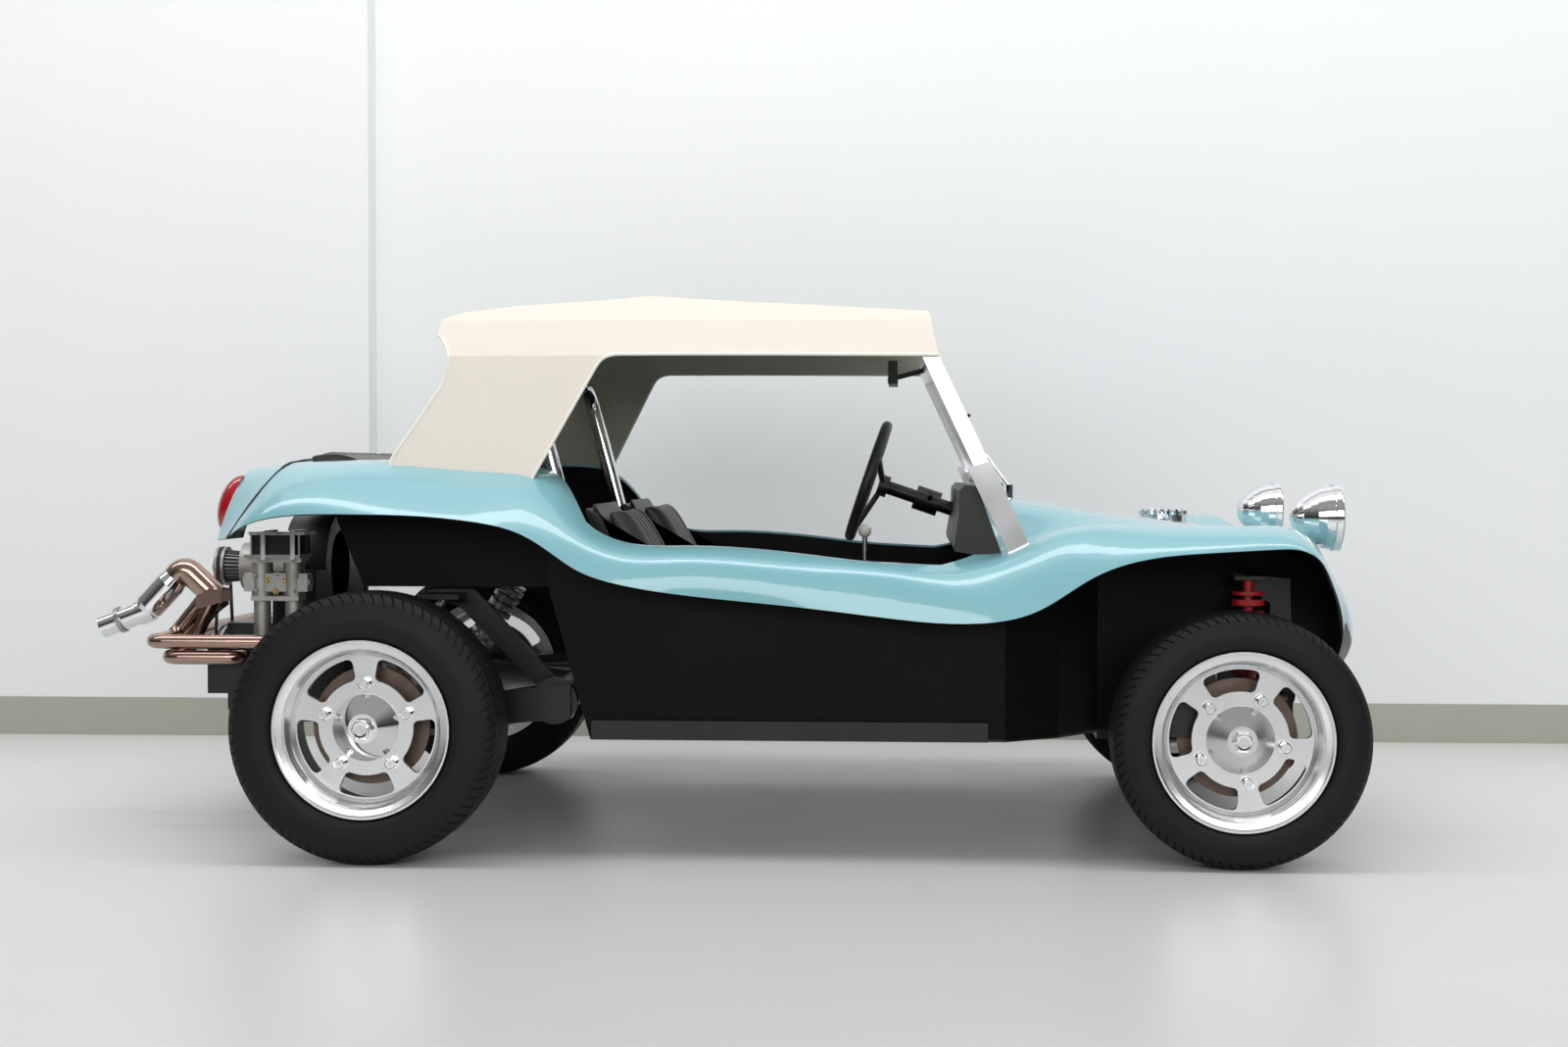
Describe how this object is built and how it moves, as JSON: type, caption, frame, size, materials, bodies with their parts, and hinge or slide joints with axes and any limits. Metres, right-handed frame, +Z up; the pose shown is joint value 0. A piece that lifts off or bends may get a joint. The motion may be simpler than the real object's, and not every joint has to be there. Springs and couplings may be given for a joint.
{
  "type": "dune buggy",
  "caption": "Open dune buggy with a moulded flared body, hard top, rear engine and slotted alloy wheels; the wheels turn and the front pair steers.",
  "frame": {"origin": "on the ground, midway along the car and on its centre plane", "axes": "+X forward, +Y to the car's left, +Z up"},
  "size_m": [3.2375, 1.712, 1.3849],
  "materials": {
    "paint_body": "gloss",
    "paint_black": "satin",
    "cream_top": "satin",
    "chrome": "polished",
    "glass": "clear",
    "lamp_red": "gloss",
    "alloy": "machined",
    "tyre": "matte",
    "cast_alloy": "cast",
    "black_steel": "satin",
    "steel": "machined",
    "rubber": "matte",
    "bronze_pipe": "coated",
    "seat_black": "soft",
    "black_plastic": "matte",
    "spring_red": "gloss"
  },
  "bodies": {
    "chassis": {"body_rear": "paint_body", "body_nose": "paint_body", "body_sides": "paint_body", "tail_panel": "paint_body", "tail_lamps": "lamp_red", "floor_pan": "black_steel", "tub": "paint_black", "dash": "black_plastic", "hard_top": "cream_top", "windshield_frame": "alloy", "windshield_glass": "glass", "rear_window": "glass", "front_beam": "black_steel", "shocks_front": "spring_red", "rear_axle": "black_steel", "shocks_rear": "black_steel", "transaxle": "cast_alloy", "engine_case": "cast_alloy", "fan_shroud": "black_steel", "alternator": "cast_alloy", "crank_pulley": "steel", "fan_belt": "rubber", "carburettors": "cast_alloy", "air_filters": "chrome", "muffler": "chrome", "exhaust_pipes": "bronze_pipe", "roll_bar": "chrome", "seat_left": "seat_black", "seat_right": "seat_black", "rear_seat": "seat_black", "steering_column": "black_plastic", "gear_lever": "steel", "mirror": "black_plastic", "headlamps": "chrome", "fuel_cap": "chrome", "wipers": "chrome", "fuel_tank": "black_steel"},
    "knuckle_left": {"knuckle_left": "black_steel"},
    "knuckle_right": {"knuckle_right": "black_steel"},
    "tie_rod": {"tie_rods": "steel"},
    "steering_wheel": {"steering_wheel": "black_plastic"},
    "wheel_fl": {"tyre_fl": "tyre", "rim_fl": "alloy", "brake_disc_fl": "steel"},
    "wheel_fr": {"tyre_fr": "tyre", "rim_fr": "alloy", "brake_disc_fr": "steel"},
    "wheel_rl": {"tyre_rl": "tyre", "rim_rl": "alloy", "brake_disc_rl": "steel"},
    "wheel_rr": {"tyre_rr": "tyre", "rim_rr": "alloy", "brake_disc_rr": "steel"}
  },
  "joints": [
    {"name": "steer_left", "type": "hinge", "parent": "chassis", "child": "knuckle_left", "pos_m": [1.264, 0.62, 0.297], "axis": [0, 0, 1], "range_deg": [-28, 28]},
    {"name": "steer_right", "type": "hinge", "parent": "chassis", "child": "knuckle_right", "pos_m": [1.264, -0.62, 0.297], "axis": [0, 0, 1], "range_deg": [-29, 29]},
    {"name": "tie_rod_slide", "type": "slide", "parent": "chassis", "child": "tie_rod", "axis": [0, -1, 0], "range_m": [-0.053, 0.053]},
    {"name": "steering_wheel_turn", "type": "hinge", "parent": "chassis", "child": "steering_wheel", "pos_m": [0.38211, 0.38, 0.88831], "axis": [-0.9472, 0, 0.3206], "range_deg": [-400, 400]},
    {"name": "wheel_fl_spin", "type": "hinge", "parent": "knuckle_left", "child": "wheel_fl", "pos_m": [1.264, 0.7005, 0.297], "axis": [0, 1, 0], "continuous": true},
    {"name": "wheel_fr_spin", "type": "hinge", "parent": "knuckle_right", "child": "wheel_fr", "pos_m": [1.264, -0.7005, 0.297], "axis": [0, 1, 0], "continuous": true},
    {"name": "wheel_rl_spin", "type": "hinge", "parent": "chassis", "child": "wheel_rl", "pos_m": [-0.768, 0.7505, 0.318], "axis": [0, 1, 0], "continuous": true},
    {"name": "wheel_rr_spin", "type": "hinge", "parent": "chassis", "child": "wheel_rr", "pos_m": [-0.768, -0.7505, 0.318], "axis": [0, 1, 0], "continuous": true}
  ],
  "couplings": [
    {"joint": "steer_right", "follows": "steer_left", "ratio": 1},
    {"joint": "tie_rod_slide", "follows": "steer_left", "m_per_rad": 0.10567},
    {"joint": "steering_wheel_turn", "follows": "steer_left", "ratio": 14}
  ]
}
